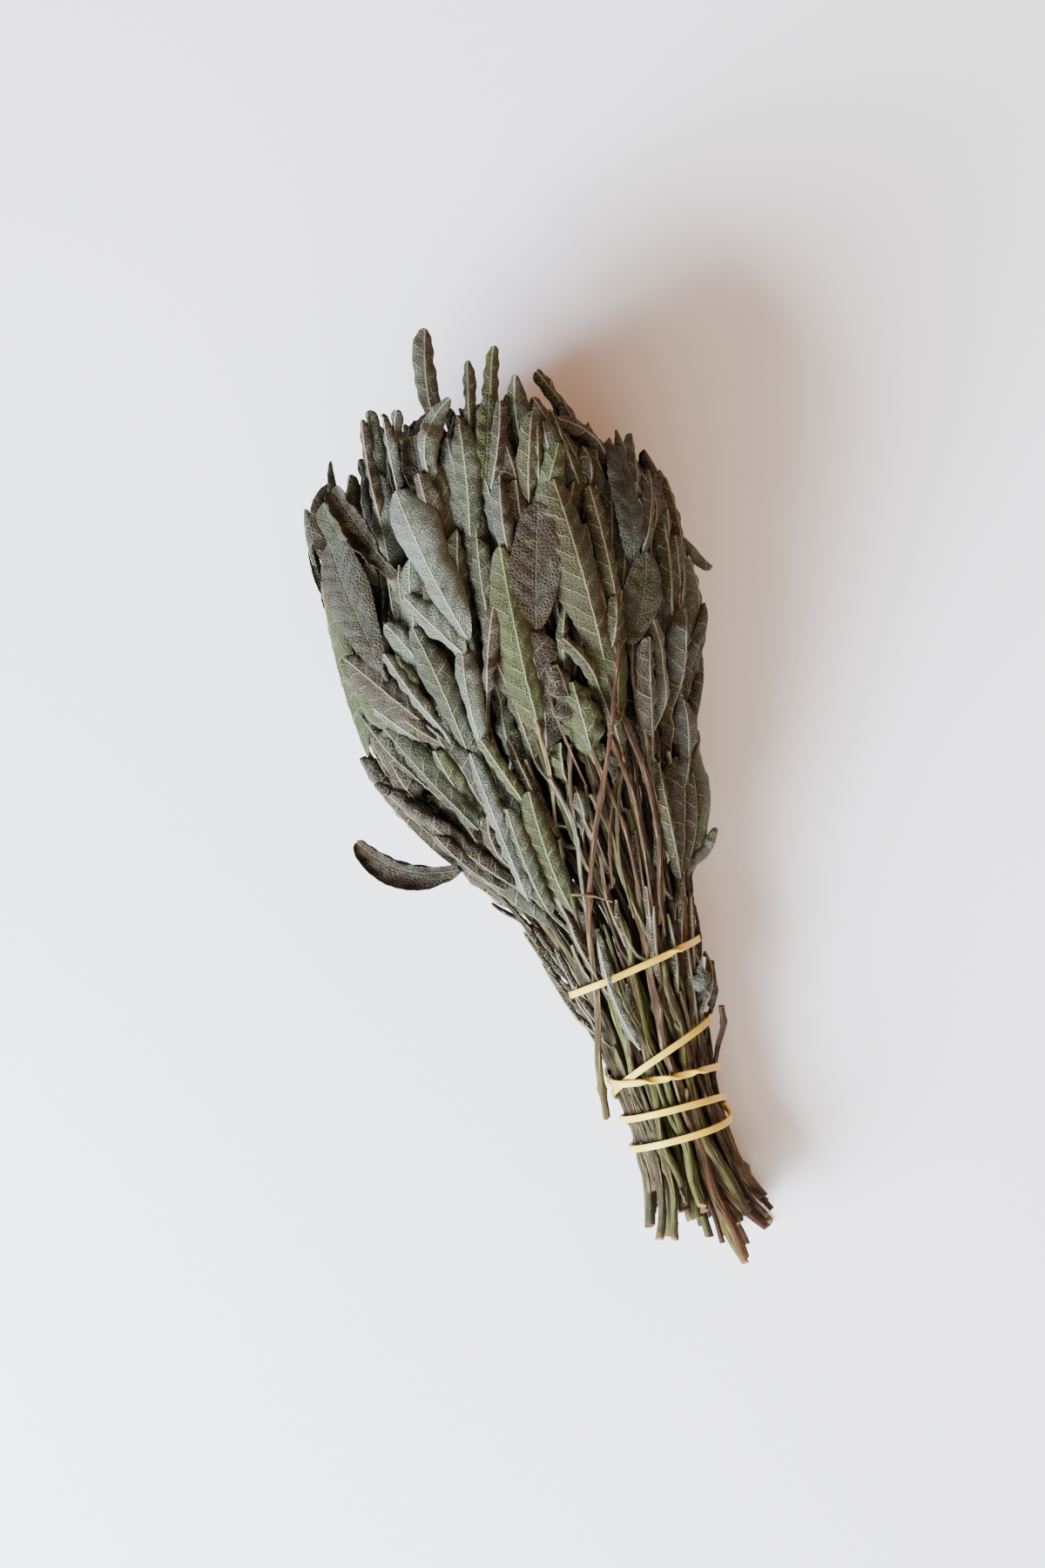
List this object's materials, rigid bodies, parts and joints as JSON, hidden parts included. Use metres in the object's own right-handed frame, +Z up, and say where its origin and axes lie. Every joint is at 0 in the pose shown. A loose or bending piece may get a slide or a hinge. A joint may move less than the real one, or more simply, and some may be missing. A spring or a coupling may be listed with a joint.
{
  "type": "sage bunch",
  "caption": "Bunch of dried sage lying on its side: leafy sprigs with cut woody stems, held together near the cut ends by pale yellow rubber bands.",
  "frame": {"origin": "on the surface the bunch lies on, under the middle of its bounding box", "axes": "+Y along the stems from the cut ends to the leaf tips, +Z up from the surface, +X to the right seen from above with the tips away"},
  "size_m": [0.089, 0.2234, 0.0626],
  "materials": {
    "leaf": "matte, felted with short hairs, silver to sage green with dull brown parts",
    "stem": "matte dry bark, olive to grey brown and purple brown",
    "rubber": "smooth, slightly glossy, pale yellow, a little translucent"
  },
  "bodies": {
    "root": {"heart_sprig_01": "leaf", "heart_sprig_02": "leaf", "heart_sprig_03": "leaf", "inner_sprig_01": "leaf", "inner_sprig_02": "leaf", "inner_sprig_03": "leaf", "inner_sprig_04": "leaf", "inner_sprig_05": "leaf", "inner_sprig_06": "leaf", "inner_sprig_07": "leaf", "inner_sprig_08": "leaf", "inner_sprig_09": "leaf", "middle_sprig_01": "leaf", "middle_sprig_02": "leaf", "middle_sprig_03": "leaf", "middle_sprig_04": "leaf", "middle_sprig_05": "leaf", "middle_sprig_06": "leaf", "middle_sprig_07": "leaf", "middle_sprig_08": "leaf", "middle_sprig_09": "leaf", "middle_sprig_10": "leaf", "middle_sprig_11": "leaf", "middle_sprig_12": "leaf", "middle_sprig_13": "leaf", "middle_sprig_14": "leaf", "middle_sprig_15": "leaf", "outer_sprig_01": "leaf", "outer_sprig_02": "leaf", "outer_sprig_03": "leaf", "outer_sprig_04": "leaf", "outer_sprig_05": "leaf", "outer_sprig_06": "leaf", "outer_sprig_07": "leaf", "outer_sprig_08": "leaf", "outer_sprig_09": "leaf", "outer_sprig_10": "leaf", "outer_sprig_11": "leaf", "outer_sprig_12": "leaf", "outer_sprig_13": "leaf", "outer_sprig_14": "leaf", "outer_sprig_15": "leaf", "outer_sprig_16": "leaf", "outer_sprig_17": "leaf", "outer_sprig_18": "leaf", "outer_sprig_19": "leaf", "outer_sprig_20": "leaf", "outer_sprig_21": "leaf", "front_sprig": "leaf", "neck_band": "rubber", "crossed_band": "rubber", "lower_band": "rubber"}
  },
  "joints": []
}
